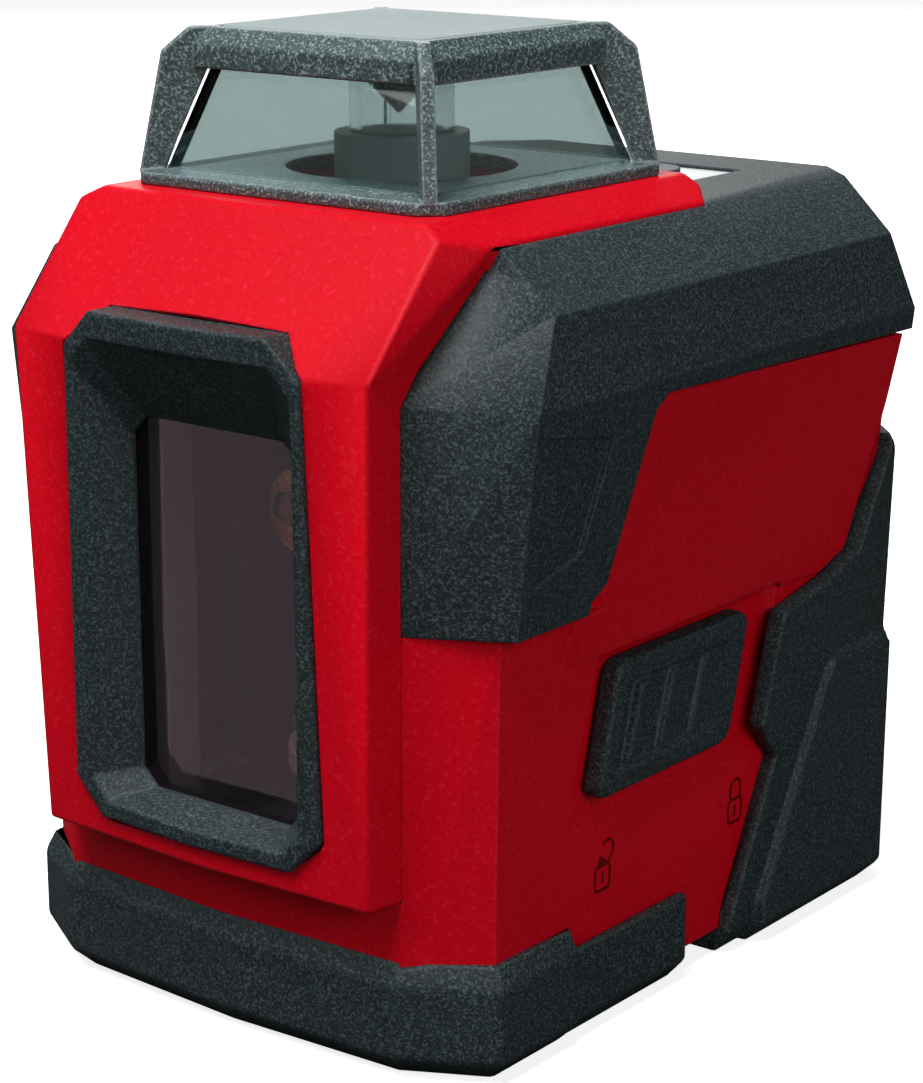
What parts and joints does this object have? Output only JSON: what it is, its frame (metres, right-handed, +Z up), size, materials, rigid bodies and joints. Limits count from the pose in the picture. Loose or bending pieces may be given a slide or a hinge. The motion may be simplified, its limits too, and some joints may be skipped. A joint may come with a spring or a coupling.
{
  "type": "self-levelling line laser level",
  "caption": "Self-levelling laser level: faceted shell with rubber grip and bumpers, caged glass head for a full-circle line, front window for a plumb line, travel lock and gimbal pendulum.",
  "frame": {"origin": "bottom centre of the bounding box, on the surface that the level stands on", "axes": "+X to its right side, where the travel lock is; -Y out of the front window; +Z up through the head"},
  "size_m": [0.0752, 0.095, 0.108],
  "materials": {
    "red_shell": "fine satin grain",
    "grip_rubber": "matt, textured",
    "cage_plastic": "textured",
    "cap_plastic": "smooth satin",
    "head_glass": "clear, slight tint",
    "window_glass": "dark tint",
    "black_plastic": "satin",
    "slider_rubber": "matt, textured",
    "pale_plastic": "satin",
    "brass": "turned",
    "steel": "satin",
    "cast_alloy": "as cast",
    "aluminium": "turned",
    "clear_glass": "polished",
    "mirror": "polished",
    "circuit_board": "lacquered",
    "component": "satin",
    "cell_sleeve": "gloss sleeve",
    "keypad_film": "satin film",
    "button_rubber": "matt",
    "lamp": "translucent"
  },
  "bodies": {
    "housing": {"front_cover": "red_shell", "main_housing": "red_shell", "upper_grip": "grip_rubber", "front_bumper": "grip_rubber", "rear_bumper": "grip_rubber", "window_bezel": "grip_rubber", "head_cage": "cage_plastic", "head_cap": "cap_plastic", "head_front_pane": "head_glass", "head_right_pane": "head_glass", "head_rear_pane": "head_glass", "head_left_pane": "head_glass", "front_pane": "window_glass", "base_plate": "black_plastic", "pane_retainer": "black_plastic", "keypad_frame": "black_plastic", "battery_tray": "black_plastic", "power_switch": "black_plastic", "tripod_insert": "brass", "housing_screws": "steel", "chassis_screws": "steel", "door_pin": "steel", "gimbal_bearings": "steel", "battery_springs": "steel", "battery_contacts": "steel", "damping_magnets": "steel", "chassis": "cast_alloy", "main_board": "circuit_board", "keypad_board": "circuit_board", "board_components": "component", "dome_switches": "component", "board_standoffs": "steel", "battery_cells": "cell_sleeve", "keypad_overlay": "keypad_film", "status_lamp": "lamp"},
    "gimbal": {"gimbal_ring": "cast_alloy", "gimbal_pins": "steel", "pendulum_bearings": "steel"},
    "pendulum": {"optic_holder": "black_plastic", "optic_tube": "clear_glass", "cone_mirror": "mirror", "pendulum_frame": "cast_alloy", "level_laser": "brass", "collimator_lens": "clear_glass", "pendulum_pins": "steel", "plumb_laser": "brass", "line_lens": "clear_glass", "pendulum_weight": "brass", "trim_screws": "steel", "damping_plate": "aluminium"},
    "lock": {"lock_slider": "slider_rubber", "lock_cam": "pale_plastic"},
    "shoe": {"lock_shoe": "pale_plastic"},
    "plunger": {"switch_plunger": "component"},
    "door": {"battery_door": "black_plastic"},
    "line_key": {"line_button": "button_rubber"},
    "pulse_key": {"pulse_button": "button_rubber"}
  },
  "joints": [
    {"name": "gimbal_pitch", "type": "hinge", "parent": "housing", "child": "gimbal", "pos_m": [0, -0.0095, 0.078], "axis": [1, 0, 0], "range_deg": [-4, 4]},
    {"name": "pendulum_roll", "type": "hinge", "parent": "gimbal", "child": "pendulum", "pos_m": [0, -0.0095, 0.078], "axis": [0, 1, 0], "range_deg": [-4, 4]},
    {"name": "lock_slide", "type": "slide", "parent": "housing", "child": "lock", "axis": [0, 1, 0], "range_m": [0, 0.0042]},
    {"name": "shoe_lift", "type": "slide", "parent": "housing", "child": "shoe", "axis": [0, 0, 1], "range_m": [0, 0.0012]},
    {"name": "switch_press", "type": "slide", "parent": "housing", "child": "plunger", "axis": [0, 1, 0], "range_m": [0, 0.0008]},
    {"name": "door_hinge", "type": "hinge", "parent": "housing", "child": "door", "pos_m": [0, 0.0453, 0.019], "axis": [-1, 0, 0], "range_deg": [0, 95]},
    {"name": "line_press", "type": "slide", "parent": "housing", "child": "line_key", "axis": [0, 0, -1], "range_m": [0, 0.0005], "stiffness_N_per_m": 400, "springref_m": -0.0004},
    {"name": "pulse_press", "type": "slide", "parent": "housing", "child": "pulse_key", "axis": [0, 0, -1], "range_m": [0, 0.0005], "stiffness_N_per_m": 400, "springref_m": -0.0004}
  ],
  "couplings": [
    {"joint": "shoe_lift", "follows": "lock_slide", "ratio": 0.2857},
    {"joint": "switch_press", "follows": "lock_slide", "ratio": 0.1905}
  ]
}
